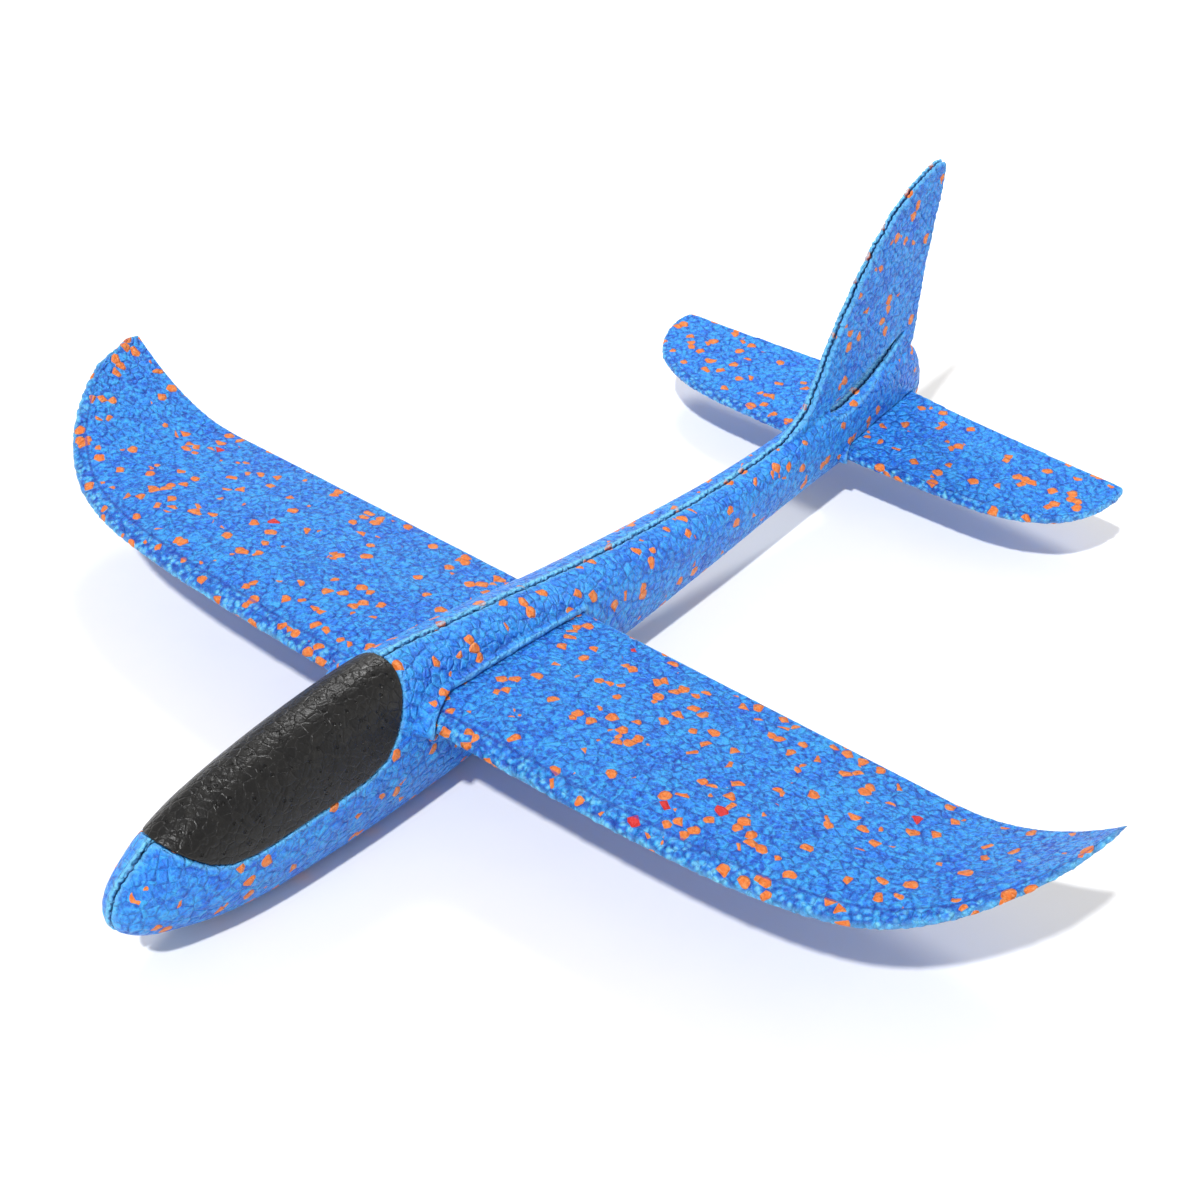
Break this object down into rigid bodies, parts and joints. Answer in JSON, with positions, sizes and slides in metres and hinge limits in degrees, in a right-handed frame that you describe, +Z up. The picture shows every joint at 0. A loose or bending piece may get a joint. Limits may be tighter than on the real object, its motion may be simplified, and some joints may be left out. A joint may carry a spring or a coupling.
{
  "type": "foam hand-launch glider",
  "caption": "Moulded bead-foam hand-throw glider with push-through wing and tailplane, swept fin moulded in one with the split fuselage, and a black canopy over a steel nose weight.",
  "frame": {"origin": "middle of the bounding box in plan, at the level of the belly that it rests on", "axes": "+X to the nose, +Y to the port (left) wing tip, +Z up"},
  "size_m": [0.4808, 0.48, 0.1456],
  "materials": {
    "blue_bead_foam": "satin moulded bead foam with scattered orange beads",
    "black_foam": "satin moulded foam",
    "plain_steel": "plain cut bar"
  },
  "bodies": {
    "fuselage": {"fuselage_left": "blue_bead_foam", "fuselage_right": "blue_bead_foam", "nose_weight": "plain_steel"},
    "wing": {"main_wing": "blue_bead_foam"},
    "tail": {"tailplane": "blue_bead_foam"},
    "canopy_plug": {"canopy": "black_foam"}
  },
  "joints": [
    {"name": "wing_slide", "type": "slide", "parent": "fuselage", "child": "wing", "axis": [0, 1, 0], "range_m": [-0.15, 0.15]},
    {"name": "tailplane_slide", "type": "slide", "parent": "fuselage", "child": "tail", "axis": [0, 1, 0], "range_m": [-0.14, 0.14]},
    {"name": "canopy_lift", "type": "slide", "parent": "fuselage", "child": "canopy_plug", "axis": [0, 0, 1], "range_m": [0, 0.05]}
  ]
}
